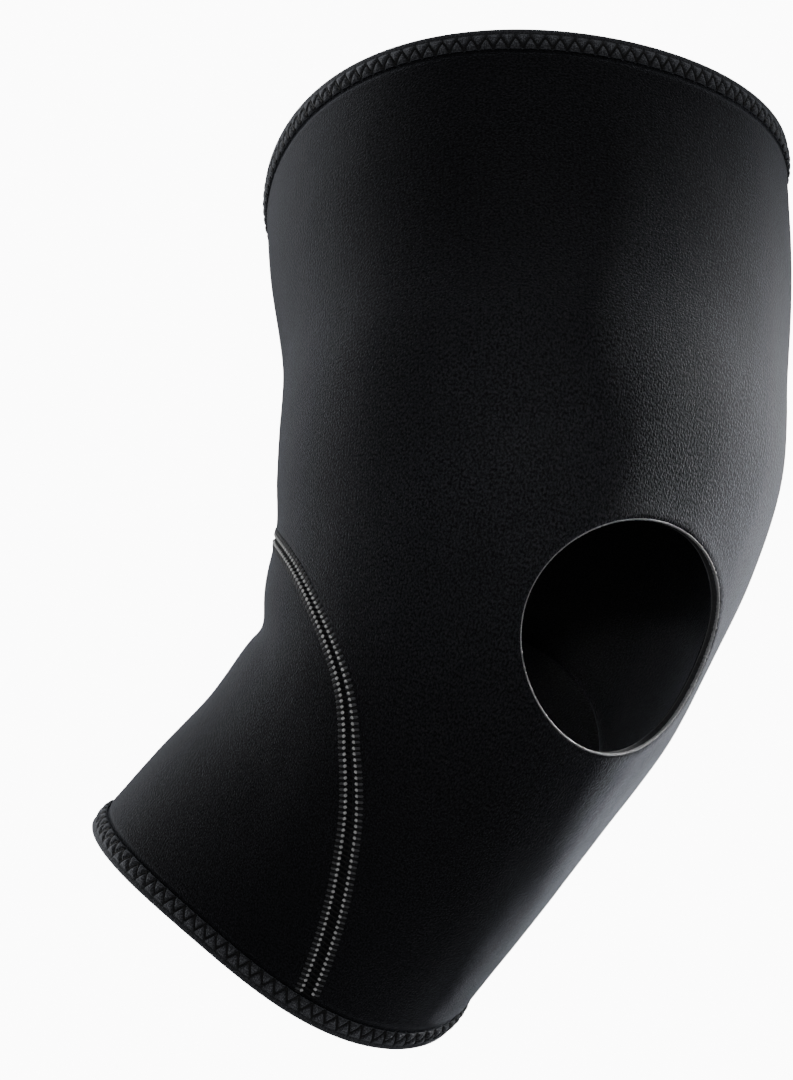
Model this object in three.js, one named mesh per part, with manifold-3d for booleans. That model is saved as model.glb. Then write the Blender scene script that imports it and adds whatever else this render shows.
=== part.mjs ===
// Knee sleeve with a round opening over the kneecap, shaped as it is worn on a bent knee.
// It is a tube of cloth-faced foam rubber, sewn from a front panel and a calf panel, with folded
// tape round both edges. Millimetres and degrees. +Z runs up the thigh, the front faces -Y, and
// the origin is where the middle lines of the thigh tube and the shin tube cross.
import * as THREE from 'three';
import { mergeVertices } from 'three/addons/utils/BufferGeometryUtils.js';
import Module from 'manifold-3d';

// The middle line of the tube: straight, round the bend, straight
const kneeBend = 46.5;
const bendRadius = 126;
const thighLength = 140.5;
const shinLength = 124;

// Girths of the tube, as mean outer radii
const thighRadius = 80;
const kneeRadius = 68;
const calfRadius = 60;

// Foam rubber with cloth on both faces
const wall = 3.2;
const seamGap = 0.3;

// Fold behind the knee
const creaseDepth = 3.5;
const creaseWidth = 8.7;
const creaseAlong = -0.345;
const creaseSpread = 1.2;

// Edge tape, folded over the pinched rubber
const tapeWidth = 7;
const tapeThickness = 0.9;
const tapeClearance = 0.3;
const tapeProud = 0.6;
const pinchRamp = 2.5;

// Opening over the kneecap, measured along the outer face
const openingWidth = 78.5;
const openingHeight = 70.5;
const openingDrop = 5.2;

// The sewn pattern sits turned on the tube, a little at the knee and more at the calf edge
const turnAtKnee = 2;
const turnAtCalf = 13;

// How each edge leaves a square cut: a tilt up to the front, a tilt up to the +X side, and a saddle
// with its twist
const topEdge = { frontRise: 7.5, sideRise: 0.4, saddle: -2.5, twist: 1.9 };
const bottomEdge = { frontRise: -3.2, sideRise: 6.6, saddle: -3.1, twist: -1.1 };

// Fineness of the faceted solids
const aroundSteps = 54;
const alongSteps = 24;
const cutReach = 12;
const openingSteps = 24;
const seamSteps = 36;
const seamColumns = 44;

// Outer radii at 0, 45, 90, 135 and 180 degrees from the front, as shares of the girth named in
// each row. along is a share of thighLength above the middle of the knee, of shinLength below it.
const sections = [
  { along: -1.0, girth: calfRadius, front: 0.85, frontCorner: 0.86, side: 0.97, backCorner: 1.22, back: 1.21 },
  { along: -0.79, girth: calfRadius, front: 0.92, frontCorner: 0.91, side: 0.97, backCorner: 1.14, back: 1.13 },
  { along: -0.57, girth: calfRadius, front: 0.98, frontCorner: 0.96, side: 0.96, backCorner: 1.05, back: 1.03 },
  { along: -0.35, girth: kneeRadius, front: 0.91, frontCorner: 0.89, side: 0.88, backCorner: 0.92, back: 0.92 },
  { along: -0.17, girth: kneeRadius, front: 0.98, frontCorner: 0.97, side: 0.94, backCorner: 0.97, back: 0.95 },
  { along: 0.0, girth: kneeRadius, front: 1.01, frontCorner: 1.03, side: 1.0, backCorner: 1.0, back: 0.98 },
  { along: 0.14, girth: kneeRadius, front: 1.04, frontCorner: 1.11, side: 1.08, backCorner: 1.04, back: 1.01 },
  { along: 0.31, girth: thighRadius, front: 0.95, frontCorner: 1.02, side: 0.96, backCorner: 0.9, back: 0.87 },
  { along: 0.51, girth: thighRadius, front: 0.98, frontCorner: 1.04, side: 0.97, backCorner: 0.9, back: 0.91 },
  { along: 0.75, girth: thighRadius, front: 1.02, frontCorner: 1.06, side: 1.0, backCorner: 0.96, back: 1.0 },
  { along: 1.0, girth: thighRadius, front: 1.03, frontCorner: 1.05, side: 1.0, backCorner: 0.99, back: 1.07 },
];

// Side seams, from the top of the arch behind the knee down to the calf edge: half the calf
// panel's width in degrees from its middle, at shares of shinLength from the middle of the knee.
const seam = [
  { along: 0.02, halfAngle: 0 },
  { along: 0.0, halfAngle: 24 },
  { along: -0.043, halfAngle: 50 },
  { along: -0.11, halfAngle: 72 },
  { along: -0.23, halfAngle: 94 },
  { along: -0.335, halfAngle: 108.5 },
  { along: -0.51, halfAngle: 122.5 },
  { along: -0.68, halfAngle: 130 },
  { along: -0.84, halfAngle: 134.5 },
  { along: -1.0, halfAngle: 137 },
  { along: -1.2, halfAngle: 138.5 },
];

const radians = THREE.MathUtils.degToRad;
const clamp = THREE.MathUtils.clamp;

// Smooth curve through rows of numbers, whose first column is the rising key
function throughRows(rows, key) {
  const slope = (i) => {
    const before = rows[Math.max(i - 1, 0)];
    const after = rows[Math.min(i + 1, rows.length - 1)];
    return after.map((value, column) => (value - before[column]) / (after[0] - before[0]));
  };
  let i = 0;
  while (i < rows.length - 2 && key >= rows[i + 1][0]) i += 1;
  const span = rows[i + 1][0] - rows[i][0];
  const t = (key - rows[i][0]) / span;
  const from = slope(i);
  const to = slope(i + 1);
  return rows[i].map((value, column) =>
    (1 + 2 * t) * (1 - t) ** 2 * value +
    t * (1 - t) ** 2 * span * from[column] +
    t * t * (3 - 2 * t) * rows[i + 1][column] +
    t * t * (t - 1) * span * to[column]);
}

const alongLength = (share) => share * (share > 0 ? thighLength : shinLength);

const sectionRows = sections.map((row) => [
  alongLength(row.along),
  row.front * row.girth,
  row.frontCorner * row.girth,
  row.side * row.girth,
  row.backCorner * row.girth,
  row.back * row.girth,
]);

// Outer radius at a length along the middle line and an angle from the front. The five radii of a
// section set a sum of five cosines, and the fold behind the knee is pressed in.
function outerRadius(along, angle) {
  const radii = throughRows(sectionRows, along).slice(1);
  const last = radii.length - 1;
  const half = (k) => (k === 0 || k === last ? 0.5 : 1);
  let radius = 0;
  for (let k = 0; k <= last; k += 1) {
    let weight = 0;
    for (let j = 0; j <= last; j += 1) {
      weight += half(j) * radii[j] * Math.cos((Math.PI * j * k) / last);
    }
    radius += half(k) * (2 / last) * weight * Math.cos(k * angle);
  }
  const fromCrease = (along - creaseAlong * shinLength) / creaseWidth;
  const behind = Math.max(-Math.cos(angle), 0) ** creaseSpread;
  return radius - creaseDepth * Math.exp(-fromCrease * fromCrease) * behind;
}

// Point at a length along the middle line, an angle from the front (towards +X) and an offset out
// from the outer face
function onSleeve(along, angle, offset) {
  const bend = radians(kneeBend);
  const halfArc = (bendRadius * bend) / 2;
  const reach = bendRadius * Math.tan(bend / 2);
  const tilt = clamp((halfArc - along) / (2 * halfArc), 0, 1) * bend;
  const past = Math.max(-halfArc - along, 0);
  const middle = new THREE.Vector3(
    0,
    bendRadius * (1 - Math.cos(tilt)) + past * Math.sin(bend),
    reach - bendRadius * Math.sin(tilt) + Math.max(along - halfArc, 0) - past * Math.cos(bend),
  );
  const radius = outerRadius(along, angle) + offset;
  const forward = radius * Math.cos(angle);
  return middle.add(new THREE.Vector3(
    radius * Math.sin(angle),
    -forward * Math.cos(tilt),
    -forward * Math.sin(tilt),
  ));
}

const edgeShape = (edge, angle) =>
  edge.frontRise * Math.cos(angle) +
  edge.sideRise * Math.sin(angle) +
  edge.saddle * Math.cos(2 * angle) +
  edge.twist * Math.sin(2 * angle);
const topAlong = (angle) => thighLength + edgeShape(topEdge, angle);
const bottomAlong = (angle) => -shinLength + edgeShape(bottomEdge, angle);

// How far the sewn pattern is turned at a length along the middle line, in radians
function patternTurn(along) {
  const share = clamp((-openingDrop - along) / (shinLength - openingDrop), 0, 1);
  return radians(turnAtKnee + (turnAtCalf - turnAtKnee) * share);
}

// Closed ring round the tube: profile(angle) gives [along, offset] corners of one closed outline
function ringGeometry(profile) {
  const positions = [];
  const index = [];
  const corners = profile(0).length;
  for (let i = 0; i < aroundSteps; i += 1) {
    const angle = (2 * Math.PI * i) / aroundSteps;
    for (const [along, offset] of profile(angle)) {
      positions.push(...onSleeve(along, angle, offset).toArray());
    }
    for (let j = 0; j < corners; j += 1) {
      const here = i * corners;
      const next = ((i + 1) % aroundSteps) * corners;
      const after = (j + 1) % corners;
      index.push(here + j, next + j, next + after, here + j, next + after, here + after);
    }
  }
  const geometry = new THREE.BufferGeometry();
  geometry.setAttribute('position', new THREE.Float32BufferAttribute(positions, 3));
  geometry.setIndex(index);
  return geometry;
}

// Block that reaches through the wall. Each row is { along, from, to }, from the upper row down,
// and the block spans the angles from..to there.
function throughBlock(rows, columns) {
  const positions = [];
  const index = [];
  const layers = [-wall - cutReach, cutReach];
  for (const row of rows) {
    for (let c = 0; c <= columns; c += 1) {
      const angle = row.from + ((row.to - row.from) * c) / columns;
      for (const offset of layers) positions.push(...onSleeve(row.along, angle, offset).toArray());
    }
  }
  const corner = (r, c, layer) => 2 * (r * (columns + 1) + c) + layer;
  const quad = (a, b, c, d) => index.push(a, b, c, a, c, d);
  for (let r = 0; r < rows.length - 1; r += 1) {
    for (let c = 0; c < columns; c += 1) {
      quad(corner(r, c, 1), corner(r + 1, c, 1), corner(r + 1, c + 1, 1), corner(r, c + 1, 1));
      quad(corner(r, c, 0), corner(r, c + 1, 0), corner(r + 1, c + 1, 0), corner(r + 1, c, 0));
    }
    quad(corner(r, 0, 0), corner(r + 1, 0, 0), corner(r + 1, 0, 1), corner(r, 0, 1));
    quad(corner(r, columns, 1), corner(r + 1, columns, 1), corner(r + 1, columns, 0), corner(r, columns, 0));
  }
  const bottom = rows.length - 1;
  for (let c = 0; c < columns; c += 1) {
    quad(corner(0, c, 0), corner(0, c, 1), corner(0, c + 1, 1), corner(0, c + 1, 0));
    quad(corner(bottom, c, 1), corner(bottom, c, 0), corner(bottom, c + 1, 0), corner(bottom, c + 1, 1));
  }
  const geometry = new THREE.BufferGeometry();
  geometry.setAttribute('position', new THREE.Float32BufferAttribute(positions, 3));
  geometry.setIndex(index);
  return geometry;
}

const wasm = await Module();
wasm.setup();

// Closed geometry as a solid that can be cut, without the flat triangles at pointed ends
function toSolid(geometry) {
  const merged = mergeVertices(geometry, 1e-4);
  const corners = merged.index.array;
  const kept = [];
  for (let i = 0; i < corners.length; i += 3) {
    const [a, b, c] = corners.slice(i, i + 3);
    if (a !== b && b !== c && c !== a) kept.push(a, b, c);
  }
  return new wasm.Manifold(new wasm.Mesh({
    numProp: 3,
    vertProperties: merged.attributes.position.array,
    triVerts: new Uint32Array(kept),
  }));
}

function toGeometry(solid) {
  const mesh = solid.getMesh();
  const geometry = new THREE.BufferGeometry();
  geometry.setAttribute('position', new THREE.BufferAttribute(mesh.vertProperties, 3));
  geometry.setIndex(new THREE.BufferAttribute(mesh.triVerts, 1));
  return geometry;
}

// The whole rubber tube between the folds of the two tapes, pinched where a tape grips it
function tubeGeometry() {
  const pinch = tapeProud - tapeThickness - tapeClearance;
  const edgeInset = tapeThickness + tapeClearance;
  const gripped = tapeWidth - edgeInset;
  return ringGeometry((angle) => {
    const low = bottomAlong(angle) + edgeInset;
    const high = topAlong(angle) - edgeInset;
    const stations = [[low, pinch], [low + gripped, pinch]];
    const from = low + gripped + pinchRamp;
    const to = high - gripped - pinchRamp;
    for (let i = 0; i <= alongSteps; i += 1) stations.push([from + ((to - from) * i) / alongSteps, 0]);
    stations.push([high - gripped, pinch], [high, pinch]);
    const inner = stations.map(([along, offset]) => [along, -wall - offset]);
    return [...stations, ...inner.reverse()];
  });
}

// Folded tape: edge(angle) is where its fold lies, and inward points from there into the tube
function bindingGeometry(edge, inward) {
  const outerTop = tapeProud;
  const outerUnder = tapeProud - tapeThickness;
  const innerUnder = -wall - outerUnder;
  const innerTop = -wall - outerTop;
  const outline = [
    [tapeWidth, outerTop],
    [tapeThickness, outerTop],
    [0, outerUnder],
    [0, innerUnder],
    [tapeThickness, innerTop],
    [tapeWidth, innerTop],
    [tapeWidth, innerUnder],
    [tapeThickness, innerUnder],
    [tapeThickness, outerUnder],
    [tapeWidth, outerUnder],
  ];
  const turned = inward > 0 ? outline.reverse() : outline;
  return ringGeometry((angle) => turned.map(([depth, offset]) => [edge(angle) + inward * depth, offset]));
}

// Ellipse through the wall, drawn on the outer face
function openingBlock() {
  const halfAlong = (openingHeight / 2) * (bendRadius / (bendRadius + kneeRadius));
  const halfAngle = openingWidth / 2 / kneeRadius;
  const rows = [];
  for (let i = 0; i <= openingSteps; i += 1) {
    const around = (Math.PI * i) / openingSteps;
    const turn = radians(turnAtKnee);
    const spread = halfAngle * Math.sin(around);
    rows.push({
      along: -openingDrop + halfAlong * Math.cos(around),
      from: turn - spread,
      to: turn + spread,
    });
  }
  return throughBlock(rows, openingSteps / 2);
}

// The calf panel's share of the tube, with its seam line moved out by grow
function calfBlock(grow) {
  const flat = seam.map((row) => [radians(row.halfAngle) * kneeRadius, row.along * shinLength]);
  const lengths = [0];
  for (let i = 1; i < flat.length; i += 1) {
    const step = Math.hypot(flat[i][0] - flat[i - 1][0], flat[i][1] - flat[i - 1][1]);
    lengths.push(lengths[i - 1] + step);
  }
  const line = flat.map(([across, along], i) => [lengths[i], across, along]);
  const whole = lengths[lengths.length - 1];
  const probe = whole / seamSteps / 4;
  const rows = [];
  for (let i = 0; i <= seamSteps; i += 1) {
    const at = (whole * i) / seamSteps;
    const [, across, along] = throughRows(line, at);
    const [, acrossOn, alongOn] = throughRows(line, at + probe);
    const step = Math.hypot(acrossOn - across, alongOn - along);
    const outAcross = i === 0 ? 0 : ((along - alongOn) / step) * grow;
    const outAlong = i === 0 ? grow : ((acrossOn - across) / step) * grow;
    const spread = (across + outAcross) / kneeRadius;
    const middle = Math.PI + patternTurn(along + outAlong);
    rows.push({ along: along + outAlong, from: middle - spread, to: middle + spread });
  }
  return throughBlock(rows, seamColumns);
}

const rubber = new THREE.MeshStandardMaterial({ color: 0x17171a, roughness: 0.85, metalness: 0 });
const calfRubber = new THREE.MeshStandardMaterial({ color: 0x19191c, roughness: 0.85, metalness: 0 });
const tape = new THREE.MeshStandardMaterial({ color: 0x36373c, roughness: 0.75, metalness: 0 });

function piece(name, geometry, material) {
  const mesh = new THREE.Mesh(geometry, material);
  mesh.name = name;
  return mesh;
}

const tube = toSolid(tubeGeometry());
const frontPanel = tube
  .subtract(toSolid(calfBlock(seamGap / 2)))
  .subtract(toSolid(openingBlock()));
const calfPanel = tube.intersect(toSolid(calfBlock(-seamGap / 2)));

const sleeve = new THREE.Group();
sleeve.name = 'knee_sleeve';
sleeve.add(piece('front_panel', toGeometry(frontPanel), rubber));
sleeve.add(piece('calf_panel', toGeometry(calfPanel), calfRubber));
sleeve.add(piece('top_binding', bindingGeometry(topAlong, -1), tape));
sleeve.add(piece('bottom_binding', bindingGeometry(bottomAlong, 1), tape));

export default sleeve;
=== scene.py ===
"""Knee sleeve: the looks of the sewn foam rubber sleeve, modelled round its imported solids.

Everything is in metres. The form is a tube round a bent middle line: a point on it is named by
its length along that line (up the thigh is positive), its angle from the front towards +X, and
its offset out from the outer face. Flat patterns are made first and then wrapped onto the form.
"""

import math

import bmesh
import bpy
import numpy as np
from bpy.props import FloatProperty, FloatVectorProperty, IntProperty, PointerProperty
from mathutils import Matrix, Vector, noise


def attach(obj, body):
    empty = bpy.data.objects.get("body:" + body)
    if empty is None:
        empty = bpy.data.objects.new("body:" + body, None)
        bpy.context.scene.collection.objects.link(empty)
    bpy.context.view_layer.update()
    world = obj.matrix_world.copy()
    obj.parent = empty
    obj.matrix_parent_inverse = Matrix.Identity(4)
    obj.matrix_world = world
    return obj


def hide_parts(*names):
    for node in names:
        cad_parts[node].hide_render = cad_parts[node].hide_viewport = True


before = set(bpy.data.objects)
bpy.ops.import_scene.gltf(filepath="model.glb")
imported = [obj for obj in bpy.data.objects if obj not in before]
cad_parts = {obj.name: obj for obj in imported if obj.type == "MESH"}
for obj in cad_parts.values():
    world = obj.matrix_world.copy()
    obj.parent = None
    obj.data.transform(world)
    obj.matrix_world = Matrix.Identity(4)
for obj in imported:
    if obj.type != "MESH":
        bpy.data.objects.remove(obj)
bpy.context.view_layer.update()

bl_info = {
    "name": "Knee sleeve",
    "version": (1, 0, 0),
    "blender": (4, 5, 0),
    "location": "3D View > Sidebar > Sleeve",
    "description": "Builds a sewn foam rubber knee sleeve with a kneecap opening",
    "category": "Object",
}

MM = 0.001
TURN = 2 * math.pi
PHOTO_WIDTH = 793
PHOTO_HEIGHT = 1080

# A point this close to a border of a pattern lies on it
TOUCH = 0.01 * MM

# The arc length round a hem is measured this far inside its fold, at this many points
HEM_LINE = 4.5 * MM
HEM_POINTS = 2000


def table(columns, *rows):
    """Rows as dictionaries, with the columns' names as keys."""
    return [dict(zip(columns.split(), row)) for row in rows]


# Outer radii at 0, 45, 90, 135 and 180 degrees from the front, as shares of the girth named in
# each row. along is a share of the thigh length above the knee, and of the shin length below.
SECTIONS = table(
    "along girth radii",
    (-1.0, "calf", (0.85, 0.86, 0.97, 1.22, 1.21)),
    (-0.79, "calf", (0.92, 0.91, 0.97, 1.14, 1.13)),
    (-0.57, "calf", (0.98, 0.96, 0.96, 1.05, 1.03)),
    (-0.35, "knee", (0.91, 0.89, 0.88, 0.92, 0.92)),
    (-0.17, "knee", (0.98, 0.97, 0.94, 0.97, 0.95)),
    (0.0, "knee", (1.01, 1.03, 1.0, 1.0, 0.98)),
    (0.14, "knee", (1.04, 1.11, 1.08, 1.04, 1.01)),
    (0.31, "thigh", (0.95, 1.02, 0.96, 0.9, 0.87)),
    (0.51, "thigh", (0.98, 1.04, 0.97, 0.9, 0.91)),
    (0.75, "thigh", (1.02, 1.06, 1.0, 0.96, 1.0)),
    (1.0, "thigh", (1.03, 1.05, 1.0, 0.99, 1.07)),
)

# Side seams from the top of the arch behind the knee to the calf edge: half the calf panel's
# width in degrees, at shares of the shin length.
SEAM = table(
    "along half_angle",
    (0.02, 0),
    (0.0, 24),
    (-0.043, 50),
    (-0.11, 72),
    (-0.23, 94),
    (-0.335, 108.5),
    (-0.51, 122.5),
    (-0.68, 130),
    (-0.84, 134.5),
    (-1.0, 137),
    (-1.2, 138.5),
)

# How each edge leaves a square cut, in metres
TOP_EDGE, BOTTOM_EDGE = table(
    "front_rise side_rise saddle twist",
    (7.5 * MM, 0.4 * MM, -2.5 * MM, 1.9 * MM),
    (-3.2 * MM, 6.6 * MM, -3.1 * MM, -1.1 * MM),
)

# Turned-in cloth at a cut: distance from the cut line, and how far the face sinks there
SEAM_ROLL = table(
    "away sink",
    (3.4 * MM, 0.0),
    (2.5 * MM, 0.1 * MM),
    (1.7 * MM, 0.3 * MM),
    (1.0 * MM, 0.55 * MM),
    (0.45 * MM, 0.85 * MM),
    (0.02 * MM, 1.2 * MM),
)
OPENING_ROLL = table(
    "away sink",
    (5.0 * MM, 0.0),
    (3.6 * MM, -0.1 * MM),
    (2.4 * MM, -0.2 * MM),
    (1.4 * MM, -0.18 * MM),
    (0.7 * MM, -0.02 * MM),
    (0.25 * MM, 0.22 * MM),
    (0.0, 0.6 * MM),
)


def length(name, millimetres, about):
    return FloatProperty(name=name, description=about, default=millimetres * MM, unit="LENGTH")


def angle(name, degrees, about):
    turn = math.radians(degrees)
    return FloatProperty(name=name, description=about, default=turn, subtype="ANGLE")


def colour(name, value, about):
    settings = {"subtype": "COLOR", "min": 0, "max": 1}
    return FloatVectorProperty(name=name, description=about, default=value, **settings)


def pixels(name, value, about):
    return FloatProperty(name=name, description=about, default=value)


class SleeveForm(bpy.types.PropertyGroup):
    """Sizes of the form and of the sewn edges."""

    knee_bend: angle("Knee bend", 46.5, "How far the tube bends at the knee")
    bend_radius: length("Bend radius", 126, "Radius of the bend of the middle line")
    thigh_length: length("Thigh length", 140.5, "Middle line above the knee")
    shin_length: length("Shin length", 124, "Middle line below the knee")
    thigh_radius: length("Thigh radius", 80, "Mean outer radius at the thigh")
    knee_radius: length("Knee radius", 68, "Mean outer radius at the knee")
    calf_radius: length("Calf radius", 60, "Mean outer radius at the calf")
    wall: length("Wall", 3.2, "Thickness of the foam rubber with both its cloth faces")
    crease_depth: length("Crease depth", 3.5, "Depth of the fold behind the knee")
    crease_width: length("Crease width", 8.7, "Width of the fold behind the knee")
    tape_width: length("Tape width", 7, "Width of the folded edge tape on each face")
    tape_thickness: length("Tape thickness", 0.9, "Thickness of the edge tape")
    tape_clearance: length("Tape clearance", 0.3, "Gap between tape and rubber")
    tape_proud: length("Tape proud", 0.6, "How far the tape stands out from the outer face")
    opening_width: length("Opening width", 78.5, "Kneecap opening across, on the outer face")
    opening_height: length("Opening height", 70.5, "Kneecap opening along, on the outer face")
    opening_drop: length("Opening drop", 5.2, "Middle of the opening below the knee")
    turn_at_knee: angle("Turn at knee", 2, "How far the pattern sits turned at the knee")
    turn_at_calf: angle("Turn at calf", 13, "How far the pattern sits turned at the calf edge")
    undulation: length("Undulation", 0.35, "Height of the soft waves of the worn cloth")
    columns: IntProperty(name="Columns", description="Mesh columns round the tube", default=216)
    rows: IntProperty(name="Rows", description="Mesh rows along the tube", default=128)


class SleeveStitches(bpy.types.PropertyGroup):
    """Sizes of the sewing."""

    row_gap: length("Row gap", 3.7, "Distance between the two pale rows of a seam at the calf edge")
    narrow_gap: length("Narrow row gap", 2.3, "Distance between the rows behind the knee")
    pitch: length("Pitch", 1.75, "Length of one pale stitch with its gap")
    tooth_reach: length("Tooth reach", 1.75, "How far the dark threads run out from their pale row")
    thread: length("Thread", 0.92, "Thickness of the pale thread")
    black_thread: length("Black thread", 0.8, "Thickness of the black thread")
    zigzag_pitch: length("Zigzag pitch", 4.4, "Width of one V on the tape")
    zigzag_edge: length("Zigzag edge", 3.1, "Distance of the V's point from the fold")
    zigzag_reach: length("Zigzag reach", 6.8, "Distance of the V's ends from the fold")


class SleeveColours(bpy.types.PropertyGroup):
    """Colours of the cloth, tape, rubber and threads."""

    cloth: colour("Cloth", (0.002, 0.002, 0.0025), "Ground of the black facing")
    cloth_fleck: colour("Cloth fleck", (0.034, 0.0345, 0.040), "Lit loops of the black facing")
    lining: colour("Lining", (0.013, 0.013, 0.014), "Inner facing")
    tape: colour("Tape", (0.13, 0.134, 0.15), "Edge tape")
    rubber: colour("Rubber", (0.020, 0.020, 0.021), "Cut wall of the foam rubber")
    # The raw edge colour is partly the lighter cut fibres of the facing and partly a painted
    # highlight on the rim.
    raw_edge: colour("Raw edge", (0.30, 0.30, 0.31), "Raw edge of the outer facing")
    pale_thread: colour("Pale thread", (0.95, 0.95, 0.95), "Thread of the seam rows")
    black_thread: colour("Black thread", (0.003, 0.003, 0.0035), "Thread of the cross stitches")
    grey_thread: colour("Grey thread", (0.11, 0.112, 0.12), "Thread beside the pale rows")
    floor: colour("Floor", (0.82, 0.82, 0.83), "Studio floor")


def form():
    return bpy.context.scene.sleeve_form


def stitches():
    return bpy.context.scene.sleeve_stitches


def colours():
    return bpy.context.scene.sleeve_colours


def studio():
    return bpy.context.scene.sleeve_studio


# The form

def unit(vectors):
    return vectors / np.linalg.norm(vectors, axis=1, keepdims=True)


def half_girth():
    """From the front of the flat pattern to its closing line at the back."""
    return math.pi * form().knee_radius


def arc_lengths(points):
    """Length along a line of points, at each of them."""
    steps = np.linalg.norm(np.diff(points, axis=0), axis=1)
    return np.concatenate([[0], np.cumsum(steps)])


def through_rows(rows, key):
    """Smooth curve through rows of numbers, whose first column is the rising key."""
    rows = np.asarray(rows, float)
    before = np.vstack([rows[:1], rows[:-1]])
    after = np.vstack([rows[1:], rows[-1:]])
    slope = (after - before) / (after[:, :1] - before[:, :1])
    key = np.atleast_1d(np.asarray(key, float))
    i = np.clip(np.searchsorted(rows[:, 0], key, side="right") - 1, 0, len(rows) - 2)
    span = (rows[i + 1, 0] - rows[i, 0])[:, None]
    t = (key - rows[i, 0])[:, None] / span
    return (
        (1 + 2 * t) * (1 - t) ** 2 * rows[i]
        + t * (1 - t) ** 2 * span * slope[i]
        + t * t * (3 - 2 * t) * rows[i + 1]
        + t * t * (t - 1) * span * slope[i + 1]
    )


def section_rows():
    girths = {"calf": form().calf_radius, "knee": form().knee_radius, "thigh": form().thigh_radius}
    rows = []
    for row in SECTIONS:
        whole = form().thigh_length if row["along"] > 0 else form().shin_length
        radii = [share * girths[row["girth"]] for share in row["radii"]]
        rows.append([row["along"] * whole] + radii)
    return rows


def outer_radius(along, around):
    """A sum of cosines through the five radii, with the fold behind the knee pressed in."""
    crease_share, crease_spread = -0.345, 1.2
    radii = through_rows(section_rows(), along)[:, 1:]
    last = radii.shape[1] - 1
    half = np.array([0.5 if k in (0, last) else 1.0 for k in range(last + 1)])
    radius = np.zeros(len(radii))
    for k in range(last + 1):
        cosines = np.cos(np.pi * np.arange(last + 1) * k / last)
        radius += half[k] * 2 / last * (radii * half * cosines).sum(1) * np.cos(k * around)
    from_crease = (along - crease_share * form().shin_length) / form().crease_width
    behind = np.maximum(-np.cos(around), 0) ** crease_spread
    return radius - form().crease_depth * np.exp(-from_crease * from_crease) * behind


def on_sleeve(along, around, offset=0.0):
    """Points at a length along the middle line, an angle from the front and an offset outwards."""
    given = [np.atleast_1d(v).astype(float) for v in (along, around, offset)]
    along, around, offset = np.broadcast_arrays(*given)
    bend, radius_of_bend = form().knee_bend, form().bend_radius
    half_arc = radius_of_bend * bend / 2
    tilt = np.clip((half_arc - along) / (2 * half_arc), 0, 1) * bend
    past = np.maximum(-half_arc - along, 0)
    y = radius_of_bend * (1 - np.cos(tilt)) + past * math.sin(bend)
    z = radius_of_bend * (math.tan(bend / 2) - np.sin(tilt))
    z = z + np.maximum(along - half_arc, 0) - past * math.cos(bend)
    radius = outer_radius(along, around) + offset
    forward = radius * np.cos(around)
    x = radius * np.sin(around)
    return np.stack([x, y - forward * np.cos(tilt), z - forward * np.sin(tilt)], axis=-1)


def normals_at(along, around):
    """Unit directions out of the outer face."""
    step = 0.2 * MM
    turn = step / form().knee_radius
    up = on_sleeve(along + step, around) - on_sleeve(along - step, around)
    side = on_sleeve(along, around + turn) - on_sleeve(along, around - turn)
    return unit(np.cross(side, up))


def edge_shape(edge, around):
    return (
        edge["front_rise"] * np.cos(around)
        + edge["side_rise"] * np.sin(around)
        + edge["saddle"] * np.cos(2 * around)
        + edge["twist"] * np.sin(2 * around)
    )


def top_along(around):
    return form().thigh_length + edge_shape(TOP_EDGE, around)


def bottom_along(around):
    return -form().shin_length + edge_shape(BOTTOM_EDGE, around)


def pattern_turn(along):
    """How far the sewn pattern is turned at a length along the middle line."""
    drop = form().opening_drop
    share = np.clip((-drop - along) / (form().shin_length - drop), 0, 1)
    return form().turn_at_knee + (form().turn_at_calf - form().turn_at_knee) * share


def around_of(flat):
    """Angle from the front of points of the front pattern, (across, along)."""
    return flat[:, 0] / form().knee_radius + pattern_turn(flat[:, 1])


def edge_of_pattern(across, edge_line):
    """Length along the middle line where a column of the pattern meets an edge of the tube."""
    rounds = 4
    along = edge_line(across / form().knee_radius)
    for _ in range(rounds):
        along = edge_line(across / form().knee_radius + pattern_turn(along))
    return along


def wrapped(flat, offset=0.0):
    return on_sleeve(flat[:, 1], around_of(flat), offset)


# Cut lines on the pattern

class CutLine:
    """A line on the form, with the signed distance to it along the surface."""

    def __init__(self, flat, side_of):
        self.flat = flat
        self.points = wrapped(flat)
        self.side_of = side_of

    def away(self, flat):
        """Distance of pattern points from the line, negative on the part that is cut off."""
        every, close, batch = 6, 20 * MM, 1500
        spots = wrapped(flat)
        rough = np.full(len(flat), np.inf)
        for point in self.points[::every]:
            rough = np.minimum(rough, np.linalg.norm(spots - point, axis=1))
        near = np.flatnonzero(rough < close)
        for some in np.array_split(near, len(near) // batch + 1):
            rough[some] = self.exact(spots[some])
        return rough * self.side_of(flat)

    def exact(self, spots):
        """Distance of points from the nearest stretch of the line."""
        start = self.points[:-1]
        step = self.points[1:] - start
        squared = np.maximum((step * step).sum(1), 1e-18)
        t = np.clip((spots @ step.T - (start * step).sum(1)) / squared, 0, 1)
        gap = spots[:, None, :] - (start + step * t[..., None])
        return np.sqrt((gap * gap).sum(2)).min(1)

    def slope(self, flat, step):
        return (self.away(flat + step) - self.away(flat - step)) / (2 * max(step))

    def settle(self, flat, level, locked):
        """Moves pattern points to that distance from the line. Locked ones keep their across."""
        flat = flat.copy()
        probe, least_steep, rounds = 0.05 * MM, 0.05, 4
        for _ in range(rounds):
            here = self.away(flat)
            across = np.where(locked, 0, self.slope(flat, [probe, 0]))
            along = self.slope(flat, [0, probe])
            steep = np.maximum(across ** 2 + along ** 2, least_steep)
            flat += np.stack([across, along], 1) * ((level - here) / steep)[:, None]
        return flat


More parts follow.
